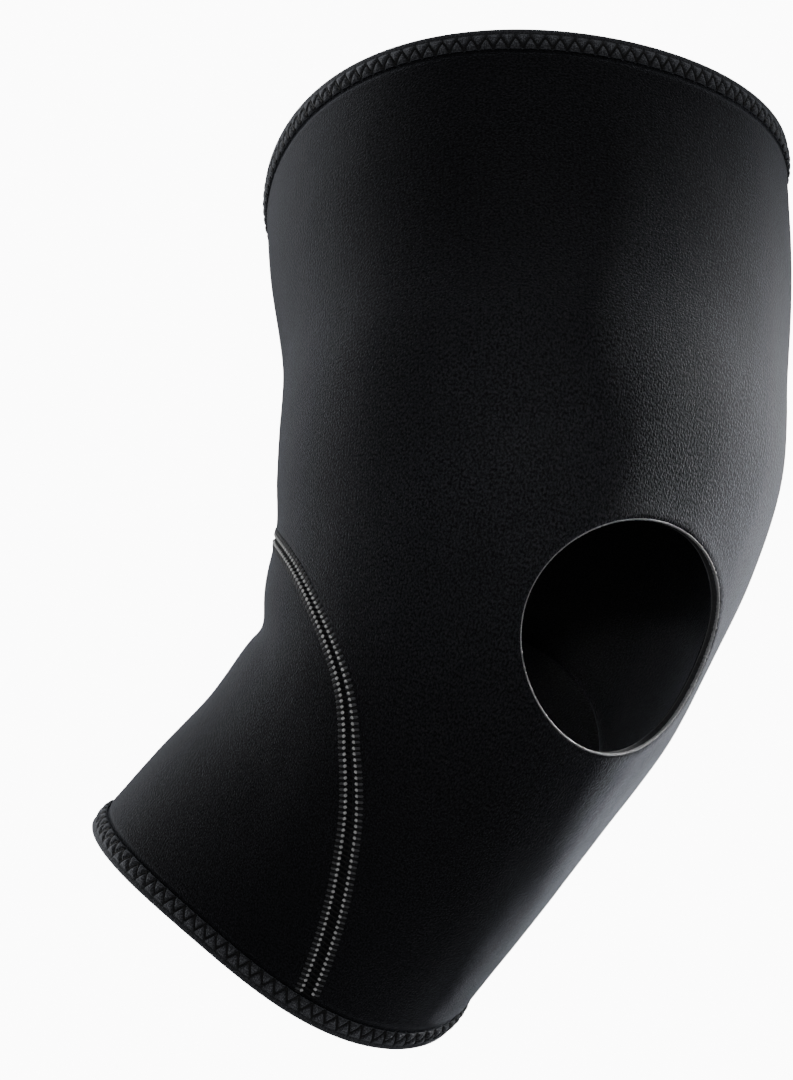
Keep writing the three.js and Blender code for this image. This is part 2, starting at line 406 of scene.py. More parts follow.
def seam_half_line(count=130):
    """The seam as (angle from the back, along), from the top of the arch to the calf edge."""
    flat = np.array([[math.radians(row["half_angle"]), row["along"]] for row in SEAM])
    flat = flat * [form().knee_radius, form().shin_length]
    run = np.concatenate([[0], np.cumsum(np.hypot(*np.diff(flat, axis=0).T))])
    return through_rows(np.column_stack([run, flat]), np.linspace(0, run[-1], count))[:, 1:]


def seam_line(side):
    """One side's seam on the front pattern: side is -1 for the -X side."""
    line = seam_half_line()
    return np.column_stack([side * (half_girth() - line[:, 0]), line[:, 1]])


def within_calf_panel(from_back, along):
    """True where a distance from the middle of the back is inside the side seams."""
    line = seam_half_line()
    return from_back < np.interp(along, line[::-1, 1], line[::-1, 0], right=-1)


def side_of_seam(flat):
    """1 on the front panel's part of the pattern, and -1 on the calf panel's."""
    from_back = half_girth() - np.abs(flat[:, 0])
    return np.where(within_calf_panel(from_back, flat[:, 1]), -1.0, 1.0)


def seam_cut():
    return CutLine(np.vstack([seam_line(-1)[::-1], seam_line(1)]), side_of_seam)


def opening_line(count=130):
    """The kneecap opening on the front pattern: an ellipse on the outer face."""
    radius, bend = form().knee_radius, form().bend_radius
    spin = np.linspace(0, TURN, count + 1)
    along = -form().opening_drop + form().opening_height / 2 * bend / (bend + radius) * np.cos(spin)
    around = form().turn_at_knee + form().opening_width / 2 / radius * np.sin(spin)
    return np.column_stack([(around - pattern_turn(along)) * radius, along])


def side_of_opening(flat):
    radius, bend = form().knee_radius, form().bend_radius
    around = around_of(flat) - form().turn_at_knee
    across_share = around * radius / (form().opening_width / 2)
    along = (flat[:, 1] + form().opening_drop) * (bend + radius) / bend
    along_share = along / (form().opening_height / 2)
    return np.where(across_share ** 2 + along_share ** 2 > 1, 1.0, -1.0)


def opening_cut():
    return CutLine(opening_line(), side_of_opening)


# Flat patterns

def places(verts):
    return np.array([v.co[:] for v in verts])


def move_to(verts, places_now):
    for v, place in zip(verts, places_now):
        v.co = place


def plain_grid(columns, rows):
    bm = bmesh.new()
    bmesh.ops.create_grid(bm, x_segments=columns, y_segments=rows, size=1)
    return bm


def smooth_outwards(bm):
    for face in bm.faces:
        face.smooth = True
    bmesh.ops.recalc_face_normals(bm, faces=list(bm.faces))


def grid_shares(verts):
    """Places in a plain grid, as shares of its width and height."""
    return (places(verts)[:, :2] + 1) / 2


def pattern_grid(across_from, across_to, columns, highest=None):
    """Grid of (across, along, 0) between the tube's edges, with close rows beside the tapes."""
    tape_rows, tape_zone = 0.09, 12 * MM
    bm = plain_grid(columns, form().rows)
    verts = list(bm.verts)
    at = grid_shares(verts)
    across = across_from + (across_to - across_from) * at[:, 0]
    inset = form().tape_thickness + form().tape_clearance
    low = edge_of_pattern(across, bottom_along) + inset
    high = edge_of_pattern(across, top_along) - inset
    if highest is not None:
        high = np.full(len(across), highest)
    fine = tape_zone / (high - low)
    up = np.where(
        at[:, 1] < tape_rows,
        at[:, 1] / tape_rows * fine,
        np.where(
            at[:, 1] > 1 - tape_rows,
            1 - (1 - at[:, 1]) / tape_rows * fine,
            fine + (at[:, 1] - tape_rows) / (1 - 2 * tape_rows) * (1 - 2 * fine),
        ),
    )
    move_to(verts, np.column_stack([across, low + (high - low) * up, np.zeros(len(verts))]))
    return bm


def trim(bm, cut, roll, wrap_across=None):
    """Cuts the pattern along a line, and turns its edge in by a ring of faces for each row."""
    outer = roll[0]["away"]
    faces = list(bm.faces)
    middles = np.array([f.calc_center_median()[:2] for f in faces])
    gone = [f for f, away in zip(faces, cut.away(middles)) if away < outer]
    bmesh.ops.delete(bm, geom=gone, context="FACES")
    edges = [e for e in bm.edges if e.is_boundary]
    spots = cut.away(np.array([((e.verts[0].co + e.verts[1].co) / 2)[:2] for e in edges]))
    reach = outer + 4 * MM
    edges = [e for e, away in zip(edges, spots) if away < reach and not on_border(e, wrap_across)]
    place_ring(edges, cut, outer, 0.0, wrap_across)
    for row in roll[1:]:
        made = bmesh.ops.extrude_edge_only(bm, edges=edges)["geom"]
        fresh = {g for g in made if isinstance(g, bmesh.types.BMVert)}
        lines = [g for g in made if isinstance(g, bmesh.types.BMEdge)]
        edges = [e for e in lines if fresh.issuperset(e.verts)]
        place_ring(edges, cut, row["away"], row["sink"], wrap_across)


def lower_border(across):
    return edge_of_pattern(across, bottom_along) + form().tape_thickness + form().tape_clearance


def borders(spots, wrap_across):
    """Which points lie on the calf edge of the pattern, and which on its closing line."""
    on_hem = np.abs(spots[:, 1] - lower_border(spots[:, 0])) < TOUCH
    closing = np.zeros(len(spots), bool)
    if wrap_across is not None:
        closing = np.abs(spots[:, 0]) > wrap_across - TOUCH
    return on_hem, closing


def on_border(edge, wrap_across):
    return any(border.all() for border in borders(places(edge.verts), wrap_across))


def place_ring(edges, cut, level, sink, wrap_across):
    verts = list({v for e in edges for v in e.verts})
    spots = places(verts)
    on_hem, locked = borders(spots, wrap_across)
    flat = cut.settle(spots[:, :2], level, locked)
    flat[on_hem, 1] = lower_border(flat[on_hem, 0])
    move_to(verts, np.column_stack([flat, np.full(len(verts), -sink)]))


def pinch_under_tapes(bm):
    """Sinks the cloth where a tape grips it, with a soft ramp and a small dip beside the tape."""
    verts = list(bm.verts)
    spots = places(verts)
    ramp, dip, dip_place, dip_width = 2.2 * MM, 0.35 * MM, 0.5 * MM, 0.7 * MM
    pinch = form().tape_thickness + form().tape_clearance - form().tape_proud
    inside = past_tapes(spots)
    t = np.clip(inside / ramp, 0, 1)
    beside = np.exp(-(((inside - dip_place) / dip_width) ** 2))
    spots[:, 2] -= pinch * (1 - t * t * (3 - 2 * t)) + dip * beside
    move_to(verts, spots)


def wall_and_wrap(bm, name, materials):
    """Gives the flat pattern its wall, wraps it onto the form and makes its object."""
    depth = bm.verts.layers.float.new("depth")
    uv = bm.loops.layers.uv.new("cloth")
    for face in bm.faces:
        for loop in face.loops:
            loop[uv].uv = loop.vert.co[:2]
    made = bmesh.ops.extrude_face_region(bm, geom=list(bm.faces), use_keep_orig=True)["geom"]
    inner = [g for g in made if isinstance(g, bmesh.types.BMVert)]
    spots = places(inner)
    spots[:, 2] = -form().wall - spots[:, 2]
    move_to(inner, spots)
    for v in inner:
        v[depth] = 1
    for face in bm.faces:
        sides = {round(v[depth]) for v in face.verts}
        face.material_index = 2 if len(sides) == 2 else sides.pop()
    for edge in bm.edges:
        edge.smooth = len({face.material_index for face in edge.link_faces}) == 1
    verts = list(bm.verts)
    spots = places(verts)
    wrinkle_share, fade_in = 0.22, 12 * MM
    wave = waves(spots, 28 * MM, 35 * MM, 0.3)
    wrinkle = waves(spots, 9 * MM, 11 * MM, 7.1)
    free = np.clip(past_tapes(spots) / fade_in, 0, 1)
    offset = spots[:, 2] + form().undulation * (wave + wrinkle_share * wrinkle) * free
    move_to(verts, wrapped(spots[:, :2], offset))
    smooth_outwards(bm)
    return finished(bm, name, materials)


def waves(spots, across, along, height):
    """Smooth noise of that grain, which meets at the back of the tube."""
    whole = half_girth()
    x = whole * np.sin(spots[:, 0] / whole * math.pi / 2) / across
    y = spots[:, 1] / along
    return np.array([noise.noise(Vector((*place, height))) for place in zip(x, y)])


def past_tapes(spots):
    """How far points lie past the inner edge of the nearer tape, negative under it."""
    low = spots[:, 1] - edge_of_pattern(spots[:, 0], bottom_along)
    high = edge_of_pattern(spots[:, 0], top_along) - spots[:, 1]
    return np.minimum(low, high) - form().tape_width


def linked(name, mesh, materials):
    for material in materials:
        mesh.materials.append(material)
    piece = bpy.data.objects.new(name, mesh)
    bpy.context.scene.collection.objects.link(piece)
    return piece


def finished(bm, name, materials):
    mesh = bpy.data.meshes.new(name)
    bm.to_mesh(mesh)
    bm.free()
    return linked(name, mesh, materials)


# Shader nodes

class Wire:
    """A value socket that takes Python's operators as Math nodes."""

    def __init__(self, graph, socket):
        self.graph = graph
        self.socket = socket

    def math(self, operation, *values):
        return self.graph.value("ShaderNodeMath", {"operation": operation}, dict(enumerate(values)))

    def __add__(self, other):
        return self.math("ADD", self, other)

    def __radd__(self, other):
        return self.math("ADD", other, self)

    def __sub__(self, other):
        return self.math("SUBTRACT", self, other)

    def __rsub__(self, other):
        return self.math("SUBTRACT", other, self)

    def __mul__(self, other):
        return self.math("MULTIPLY", self, other)

    def __rmul__(self, other):
        return self.math("MULTIPLY", other, self)


class Graph:
    """One material's nodes."""

    def __init__(self, name):
        self.material = bpy.data.materials.new(name)
        self.material.use_nodes = True
        self.tree = self.material.node_tree
        self.shader = self.tree.nodes["Principled BSDF"]

    def node(self, kind, settings=None, inputs=None):
        made = self.tree.nodes.new(kind)
        for key, value in (settings or {}).items():
            setattr(made, key, value)
        for key, value in (inputs or {}).items():
            self.feed(made.inputs[key], value)
        return made

    def feed(self, socket, value):
        if isinstance(value, Wire):
            value = value.socket
        if isinstance(value, bpy.types.NodeSocket):
            self.tree.links.new(value, socket)
        else:
            socket.default_value = value

    def value(self, kind, settings=None, inputs=None, output=0):
        return Wire(self, self.node(kind, settings, inputs).outputs[output])

    def ramp(self, value, stops):
        """Smooth steps of a value: stops are (place, height)."""
        (low, low_height), (high, high_height) = stops
        inputs = {0: value, 1: low, 2: high, 3: low_height, 4: high_height}
        return self.value("ShaderNodeMapRange", {"interpolation_type": "SMOOTHSTEP"}, inputs)

    def noise(self, place, grain, **inputs):
        """Noise of that grain size."""
        inputs = {"Vector": place, "Scale": 1 / grain, **inputs}
        return self.value("ShaderNodeTexNoise", None, inputs)

    def cells(self, place, grain):
        inputs = {"Vector": place, "Scale": 1 / grain}
        return self.value("ShaderNodeTexVoronoi", {"feature": "F1"}, inputs)

    def ribs(self, place, spacing, **inputs):
        """Ribs along the cloth, at that spacing."""
        settings = {"wave_type": "BANDS", "bands_direction": "X", "wave_profile": "SIN"}
        spacing_at_one = 2 / 6.3
        inputs = {"Vector": place, "Scale": spacing_at_one / spacing, **inputs}
        return self.value("ShaderNodeTexWave", settings, inputs)

    def attribute(self, name):
        return self.value("ShaderNodeAttribute", {"attribute_name": name}, output=2)

    def blend(self, mask, first, second):
        """Colours the surface from the first colour to the second."""
        inputs = {0: mask, 6: rgba(first), 7: rgba(second)}
        made = self.node("ShaderNodeMix", {"data_type": "RGBA"}, inputs)
        self.feed(self.shader.inputs["Base Color"], made.outputs[2])

    def rough(self, value):
        self.feed(self.shader.inputs["Roughness"], value)

    def sheen(self, weight, roughness, tint=(1.0, 1.0, 1.0)):
        self.set(Sheen_Weight=weight, Sheen_Roughness=roughness, Sheen_Tint=rgba(tint))

    def set(self, **constants):
        for key, value in constants.items():
            self.shader.inputs[key.replace("_", " ")].default_value = value

    def bump(self, height, distance, strength=1.0):
        inputs = {"Height": height, "Distance": distance, "Strength": strength}
        made = self.node("ShaderNodeBump", None, inputs)
        self.feed(self.shader.inputs["Normal"], made.outputs[0])


def rgba(value):
    return (*value, 1.0)


def knit_material(name, ground, fleck, sheen):
    """Fine knitted facing: lit loops on a dark ground, with faint wales along the tube."""
    g = Graph(name)
    place = g.node("ShaderNodeUVMap", {"uv_map": "cloth"}).outputs[0]
    tops = g.ramp(g.cells(place, 0.55 * MM), [(0.62, 0.0), (0.12, 1.0)])
    grain = g.noise(place, 0.62 * MM, Detail=2.0, Roughness=0.6)
    speck = g.ramp(grain, [(0.36, 0.0), (0.66, 1.0)])
    wear = g.noise(place, 34 * MM, Detail=3.0, Roughness=0.5)
    ribs = g.ribs(place, 1.1 * MM, **{"Distortion": 2.5, "Detail": 2.0, "Detail Scale": 2.0})
    mask = (tops * 0.3 + speck * 0.5 + ribs * 0.04) * (wear * 0.7 + 0.55)
    g.blend(mask, ground, fleck)
    g.rough(0.86 - speck * 0.16)
    g.sheen(sheen, 0.38, (0.80, 0.84, 0.95))
    g.set(Specular_IOR_Level=0.14)
    g.bump(tops * 0.5 + speck * 0.6 + ribs * 0.1, 0.16 * MM, 0.8)
    return g.material


def tape_material():
    """Folded stretch tape with fine ribs across it, and painted shade and light: dark where it is
    drawn in, light on its swells.
    """
    g = Graph("woven_tape")
    place = g.node("ShaderNodeUVMap", {"uv_map": "cloth"}).outputs[0]
    tape = Vector(colours().tape)
    ribs = g.ribs(place, 0.55 * MM, Distortion=1.2, Detail=2.0)
    grain = g.noise(place, 0.7 * MM, Detail=2.0)
    flecks = g.noise(place, 0.55 * MM, Detail=2.0)
    bright = g.ramp(flecks, [(0.45, 0.0), (0.66, 1.0)])
    # Painted light and shade: the share from puff darkens the tape towards three hundredths of its
    # colour in the grooves under the zigzag, at the crease and past the fold, and brightens it on
    # the swells.
    mask = (ribs * 0.25 + grain * 0.3 + bright * 0.9) * (g.attribute("painted_light_and_shade") * 0.92 + 0.08)
    g.blend(mask, tape * 0.03, tape * 1.5)
    g.rough(0.85 - grain * 0.2)
    g.sheen(0.7, 0.45, (0.82, 0.86, 0.95))
    g.set(Specular_IOR_Level=0.4)
    g.bump(ribs * 0.3 + grain * 0.4 + bright * 0.5, 0.2 * MM, 0.9)
    return g.material


def rubber_material():
    """Cut wall: fine closed cells between the two cloth faces."""
    g = Graph("cut_rubber")
    place = g.node("ShaderNodeTexCoord").outputs["Object"]
    depth = g.attribute("depth")
    cells = g.cells(place, 0.45 * MM)
    core = g.ramp(depth, [(0.16, 1.0), (0.10, 0.0)]) * g.ramp(depth, [(0.92, 0.0), (0.86, 1.0)])
    # The bands by each cloth face take a dimmed raw edge colour, partly the facings' cut fibres and
    # partly painted highlight.
    mask = (1 - core) * 0.75 + g.ramp(cells, [(0.7, 0.0), (0.2, 1.0)]) * 0.25
    g.blend(mask, colours().rubber, Vector(colours().raw_edge) * 0.35)
    g.set(Roughness=0.9, Specular_IOR_Level=0.3)
    g.bump(cells, 0.1 * MM, 0.7)
    return g.material


def fibre_material(name, tint, sheen):
    """Twisted thread or frayed cloth: fine strands with light and dark turns."""
    g = Graph(name)
    place = g.node("ShaderNodeTexCoord").outputs["Object"]
    strands = g.noise(place, 0.45 * MM, Detail=2.0)
    mask = g.ramp(strands, [(0.35, 0.0), (0.65, 1.0)])
    g.blend(mask, Vector(tint) * 0.7, tint)
    g.rough(0.8 - mask * 0.25)
    g.sheen(sheen, 0.4)
    g.bump(strands, 0.08 * MM, 0.7)
    return g.material


def named_material(name):
    """A shared material, made the first time it is asked for."""
    if name in bpy.data.materials:
        return bpy.data.materials[name]
    lining = Vector(colours().lining)
    makers = {
        "outer_cloth": lambda: knit_material(name, colours().cloth, colours().cloth_fleck, 0.55),
        "inner_lining": lambda: knit_material(name, lining * 0.6, lining * 2, 0.2),
        "cut_rubber": rubber_material,
        "woven_tape": tape_material,
        "pale_strands": lambda: fibre_material(name, colours().pale_thread, 0.3),
        "grey_strands": lambda: fibre_material(name, colours().grey_thread, 0.4),
        "black_strands": lambda: fibre_material(name, colours().black_thread, 0.02),
        "raw_edge": lambda: fibre_material(name, colours().raw_edge, 0.3),
    }
    return makers[name]()


def panel_materials():
    return [named_material(name) for name in ("outer_cloth", "inner_lining", "cut_rubber")]


# Pieces

class SLEEVE_OT_front_panel(bpy.types.Operator):
    """Builds the front panel, with the kneecap opening and its turned-in seam edges"""

    bl_idname = "sleeve.front_panel"
    bl_label = "Front panel"

    def execute(self, context):
        whole = half_girth()
        bm = pattern_grid(-whole, whole, form().columns)
        tucked = [*SEAM_ROLL, {"away": -0.15 * MM, "sink": 1.3 * MM}]
        trim(bm, seam_cut(), tucked, wrap_across=whole)
        trim(bm, opening_cut(), OPENING_ROLL)
        self.sink_closing_seam(bm, whole)
        pinch_under_tapes(bm)
        piece = wall_and_wrap(bm, "front_panel_cloth", panel_materials())
        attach(piece, "root")
        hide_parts("front_panel")
        return {"FINISHED"}

    def sink_closing_seam(self, bm, whole):
        """The two edges that meet at the back of the thigh sink a little and keep a hair's gap."""
        groove, width, gap = 0.7 * MM, 1.8 * MM, 0.01 * MM
        verts = list(bm.verts)
        spots = places(verts)
        from_edge = whole - np.abs(spots[:, 0])
        spots[:, 2] -= groove * np.exp(-((from_edge / width) ** 2))
        at_edge = from_edge < TOUCH
        spots[at_edge, 0] -= np.sign(spots[at_edge, 0]) * gap
        move_to(verts, spots)


class SLEEVE_OT_calf_panel(bpy.types.Operator):
    """Builds the calf panel, from the arch behind the knee down to the calf edge"""

    bl_idname = "sleeve.calf_panel"
    bl_label = "Calf panel"

    def execute(self, context):
        whole = half_girth()
        half_angle, above_arch = math.radians(142), 8 * MM
        half = half_angle * form().knee_radius
        columns = round(form().columns * half / whole)
        bm = pattern_grid(whole - half, whole + half, columns, highest=above_arch)
        trim(bm, back_cut(whole), SEAM_ROLL)
        pinch_under_tapes(bm)
        piece = wall_and_wrap(bm, "calf_panel_cloth", panel_materials())
        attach(piece, "root")
        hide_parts("calf_panel")
        return {"FINISHED"}


def back_cut(whole):
    """The seam seen from the calf panel, whose pattern has its middle at across = whole."""
    half = seam_half_line()
    left = np.column_stack([whole + half[:, 0], half[:, 1]])
    right = np.column_stack([whole - half[:, 0], half[:, 1]])

    def inside(flat):
        from_back = np.abs(flat[:, 0] - whole)
        return np.where(within_calf_panel(from_back, flat[:, 1]), 1.0, -1.0)

    return CutLine(np.vstack([left[::-1], right]), inside)


def tape_profile():
    """Closed outline of the folded tape as (depth from the fold, offset), from its outer rim."""
    width, thick, proud = form().tape_width, form().tape_thickness, form().tape_proud
    wall = form().wall
    outer = [
        (width - 0.02 * MM, proud - thick * 0.75),
        (width, proud - thick * 0.45),
        (width - 0.15 * MM, proud - 0.2 * MM),
    ]
    flat = [(depth, proud) for depth in np.linspace(width - 0.5 * MM, 1.0 * MM, 16)]
    fold_middle = -wall / 2
    fold_radius = proud - fold_middle
    turn = [
        (1.0 * MM * (1 - math.sin(a)), fold_middle + fold_radius * math.cos(a))
        for a in np.linspace(0.25, math.pi - 0.25, 11)
    ]
    inner = -wall - proud
    depths = (1.0 * MM, 2.5 * MM, 4 * MM, 5.5 * MM, width - 0.3 * MM)
    under = [(depth, inner) for depth in depths]
    end = [(width, inner + thick * 0.5)]
    back = [(width - 0.1 * MM, inner + thick), (thick, inner + thick), (thick, proud - thick)]
    return np.array(outer + flat + turn + under + end + back)


def hem_run(edge_line, inward):
    """Angles round a tube's edge, and the arc length along the hem at each."""
    around = np.linspace(0, TURN, HEM_POINTS + 1)
    return around, arc_lengths(on_sleeve(edge_line(around) + inward * HEM_LINE, around))


def zigzag_height():
    return stitches().zigzag_reach - stitches().zigzag_edge


def zigzag_depth(run, total):
    """Depth of the zigzag thread from the fold, at an arc length."""
    count = round(total / stitches().zigzag_pitch)
    phase = (run / total * count) % 1
    return stitches().zigzag_edge + zigzag_height() * (1 - np.abs(2 * phase - 1))


class SLEEVE_OT_bindings(bpy.types.Operator):
    """Builds the folded tape and its zigzag thread on both edges"""

    bl_idname = "sleeve.bindings"
    bl_label = "Edge bindings"

    steps: IntProperty(name="Steps", description="Mesh steps round each tape", default=1300)

    def execute(self, context):
        for name, edge_line, inward, girth in (
            ("top_binding", top_along, -1, 0.52),
            ("bottom_binding", bottom_along, 1, 0.42),
        ):
            thread = self.zigzag(name, edge_line, inward)
            piece = self.tape(name, edge_line, inward)
            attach(piece, "root")
            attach(thread, "root")
            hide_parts(name)
        return {"FINISHED"}

    def tape(self, name, edge_line, inward):
        profile = tape_profile()
        bm = plain_grid(self.steps, len(profile))
        uv = bm.loops.layers.uv.new("cloth")
        painted_light_and_shade = bm.verts.layers.float.new("painted_light_and_shade")
        verts = list(bm.verts)
        at = grid_shares(verts)
        around_all, run_all = hem_run(edge_line, inward)
        around = at[:, 0] * TURN
        run = np.interp(around, around_all, run_all)
        corner = np.round(at[:, 1] * len(profile)).astype(int) % len(profile)
        depth = profile[corner, 0]
        raised, lit = self.puff(run, depth, run_all[-1], corner)
        offset = profile[corner, 1] + raised
        # Stores the painted light and shade of each point for the tape's material.
        for v, share in zip(verts, lit):
            v[painted_light_and_shade] = share
        for face in bm.faces:
            for loop in face.loops:
                i = loop.vert.index
                loop[uv].uv = (run[i], corner[i] * 0.4 * MM)
        move_to(verts, on_sleeve(edge_line(around) + inward * depth, around, offset))
        bmesh.ops.remove_doubles(bm, verts=list(bm.verts), dist=1e-6)
        smooth_outwards(bm)
        return finished(bm, name + "_tape", [named_material("woven_tape")])

    def puff(self, run, depth, total, corner):
        """The tape swells between its threads and is drawn in under them; lit is painted light on
        the swells and painted shade in the grooves.
        """
        swell, drawn, groove, roll = 0.6 * MM, 0.9 * MM, 0.55 * MM, 2.3 * MM
        # Corners of the outline: the outer face, and as far as the fold is seen; past the fold the
        # tape is painted in shade
        first, last, fold = 1, 20, 26
        outer = (corner >= first) & (corner <= last)
        slope = 2 * zigzag_height() / stitches().zigzag_pitch
        away = np.abs(depth - zigzag_depth(run, total)) / math.hypot(1, slope)
        pulled = np.exp(-((away / groove) ** 2))
        across = np.clip((depth - roll) / (form().tape_width - roll), 0, 1)
        crown = np.sin(np.pi * across) ** 0.6
        crease = np.exp(-(((depth - roll) / (0.5 * MM)) ** 2))
        raised = swell * crown - drawn * np.maximum(pulled, crease * 0.3)
        # Painted light and shade: full on the crowns, half away from the crease, and fading to none
        # in the grooves under the thread.
        lit = np.maximum(crown, 0.5 * (1 - crease)) * (1 - pulled) ** 2
        return np.where(outer, raised, 0), np.where(corner <= fold, lit, 0)

    def zigzag(self, name, edge_line, inward):
        """A ring of black strands, each from one turn of the zigzag to the next."""
        around_all, run_all = hem_run(edge_line, inward)
        total = run_all[-1]
        count = 2 * round(total / stitches().zigzag_pitch)
        turn = np.arange(count)
        depth = np.where(turn % 2, stitches().zigzag_reach, stitches().zigzag_edge)
        around = np.interp(turn / count * total, run_all, around_all)
        along = edge_line(around) + inward * depth
        points = on_sleeve(along, around, form().tape_proud - 0.2 * MM)
        out = normals_at(along, around)
        strands = Strands()
        for i in range(count):
            after = points[(i + 1) % count]
            strands.lay(points[i], after, out[i], stitches().black_thread, bow=0.05 * MM)
        return strands.piece(name + "_zigzag", named_material("black_strands"))


class Strands:
    """Many short strands of one thread, each a copy of one round-ended strand."""

    def __init__(self):
        self.rows = []

    def lay(self, start, end, out, thickness, bow=0.0):
        """A strand from start to end, bowed out in the middle."""
        self.rows.append((*start, *end, *out, thickness, bow))

    def template(self):
        """One strand along Z, from -1 to 1 and of radius 1, with round ends."""
        bm = bmesh.new()
        bmesh.ops.create_uvsphere(bm, u_segments=8, v_segments=6, radius=1)
        spots = places(bm.verts)
        fuller = np.sign(spots[:, 2]) * np.abs(spots[:, 2]) ** 0.7
        ball = np.sqrt(np.maximum(1 - spots[:, 2] ** 2, 0.04))
        widen = np.minimum(np.sqrt(np.maximum(1 - np.abs(fuller) ** 6, 0)) / ball, 1.6)
        spots = np.column_stack([spots[:, :2] * widen[:, None], fuller])
        faces = [[v.index for v in f.verts] for f in bm.faces]
        bm.free()
        return spots, faces

    def piece(self, name, material):
        """All strands joined in one object, each a little flat and as long as its stitch."""
        flatten, overlap = 0.75, 0.7
        spots, faces = self.template()
        rows = np.array(self.rows)[:, None]
        start, end, out = rows[..., 0:3], rows[..., 3:6], rows[..., 6:9]
        thickness, bow = rows[..., 9:10], rows[..., 10:11]
        reach = np.linalg.norm(end - start, axis=2, keepdims=True)
        ahead = (end - start) / reach
        side = np.cross(out, ahead)
        side = side / np.linalg.norm(side, axis=2, keepdims=True)
        x, y, z = (spots[None, :, k, None] for k in range(3))
        made = (
            (start + end) / 2
            + side * thickness / 2 * x
            + np.cross(ahead, side) * (thickness / 2 * flatten * y + bow * (1 - z * z))
            + ahead * (reach + thickness * overlap) / 2 * z
        )
        count = len(spots)
        joined = [[i + k * count for i in face] for k in range(len(rows)) for face in faces]
        mesh = bpy.data.meshes.new(name)
        mesh.from_pydata(made.reshape(-1, 3).tolist(), [], joined)
        mesh.shade_smooth()
        return linked(name, mesh, [material])


def spaced_on(line, pitch, first=0):
    """Stations every pitch along a pattern line: points, and the ways forward and outward."""
    run = arc_lengths(wrapped(line))
    count = max(int((run[-1] - first) / pitch), 1)
    at = first + pitch * np.arange(count + 1)
    behind, flat, ahead = (
        np.column_stack([np.interp(at + step, run, line[:, k]) for k in (0, 1)])
        for step in (-pitch / 4, 0, pitch / 4)
    )
    out = normals_at(flat[:, 1], around_of(flat))
    return wrapped(flat), unit(wrapped(ahead) - wrapped(behind)), out


def half_row_gap(spots):
    """Half the distance between the pale rows, which part from the arch to the calf edge."""
    upper, lower = -10 * MM, -80 * MM
    narrow, wide = stitches().narrow_gap, stitches().row_gap
    share = np.clip((upper - spots[:, 2]) / (upper - lower), 0, 1)
    return (narrow + (wide - narrow) * share) / 2


def seam_above_tape(side):
    """One side's seam line, ended just above the tape of the calf edge."""
    line = seam_line(side)
    stop = edge_of_pattern(line[:, 0], bottom_along) + form().tape_width + 0.4 * MM
    return line[line[:, 1] > stop]


class SLEEVE_OT_seam_threads(bpy.types.Operator):
    """Sews the side seams with pale, grey and black threads, and closes the back"""

    bl_idname = "sleeve.seam_threads"
    bl_label = "Seam threads"

    def execute(self, context):
        pale, grey, black = Strands(), Strands(), Strands()
        for side in (-1, 1):
            line = seam_above_tape(side)
            self.pale_rows(pale, grey, line)
            self.cross_threads(black, line)
        self.closing_seam(black)
        for name, strands, slot in (
            ("pale", pale, "pale_thread"),
            ("grey", grey, "black_thread"),
            ("black", black, "black_thread"),
        ):
            piece = strands.piece(f"seam_{name}_thread", named_material(name + "_strands"))
            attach(piece, "root")
        return {"FINISHED"}

    def stations(self, line, first):
        """Places of the stitches, each with the ways forward, out and across, and half the gap."""
        spots, forward, out = spaced_on(line, stitches().pitch, first)
        return zip(spots, forward, out, np.cross(out, forward), half_row_gap(spots))

    def pale_rows(self, pale, grey, line):
        """A pale stitch at every station of both rows, and the grey thread beside it."""
        pitch, thread = stitches().pitch, stitches().thread
        for spot, forward, out, across, half_gap in self.stations(line, pitch / 2):
            for row in (-1, 1):
                side = across * row
                middle = spot + side * half_gap - out * 0.03 * MM
                lean = (side + forward * 0.5) * pitch * 0.1
                pale.lay(middle - lean, middle + lean, out, thread, 0.1 * MM)
                near = middle + side * 0.5 * MM
                far = spot + side * (half_gap + stitches().tooth_reach) - out * 0.15 * MM
                grey.lay(near, far, out, thread * 0.8, 0.1 * MM)

    def cross_threads(self, black, line):
        """Black thread sunk between the rows, and beside them between the grey threads."""
        thread = stitches().black_thread
        for spot, forward, out, across, half_gap in self.stations(line, stitches().pitch):
            low = spot - out * 0.45 * MM
            reach = across * half_gap * 0.8 + forward * 0.5 * MM
            black.lay(low - reach, low + reach, out, thread)
            for row in (-1, 1):
                side = across * row
                near = spot + side * (half_gap - 0.2 * MM) - out * 0.12 * MM
                far = spot + side * (half_gap + stitches().tooth_reach) - out * 0.17 * MM
                black.lay(near, far, out, thread, 0.02 * MM)

    def closing_seam(self, strands):
        """The plain black cross stitches that close the tube at the back of the thigh."""
        across = half_girth()
        top = top_along(math.pi) - form().tape_width - 1.5 * MM
        start = SEAM[0]["along"] * form().shin_length + 4 * MM
        points = 160
        line = np.column_stack([np.full(points, across), np.linspace(start, float(top), points)])
        spots, forwards, outs = spaced_on(line, 2.6 * MM)
        turn = -1
        for spot, forward, out in zip(spots, forwards, outs):
            low = spot - out * 0.35 * MM
            reach = np.cross(out, forward) * 2.4 * MM + forward * 0.9 * MM * turn
            strands.lay(low - reach, low + reach, out, 0.6 * MM, 0.3 * MM)
            turn = -turn


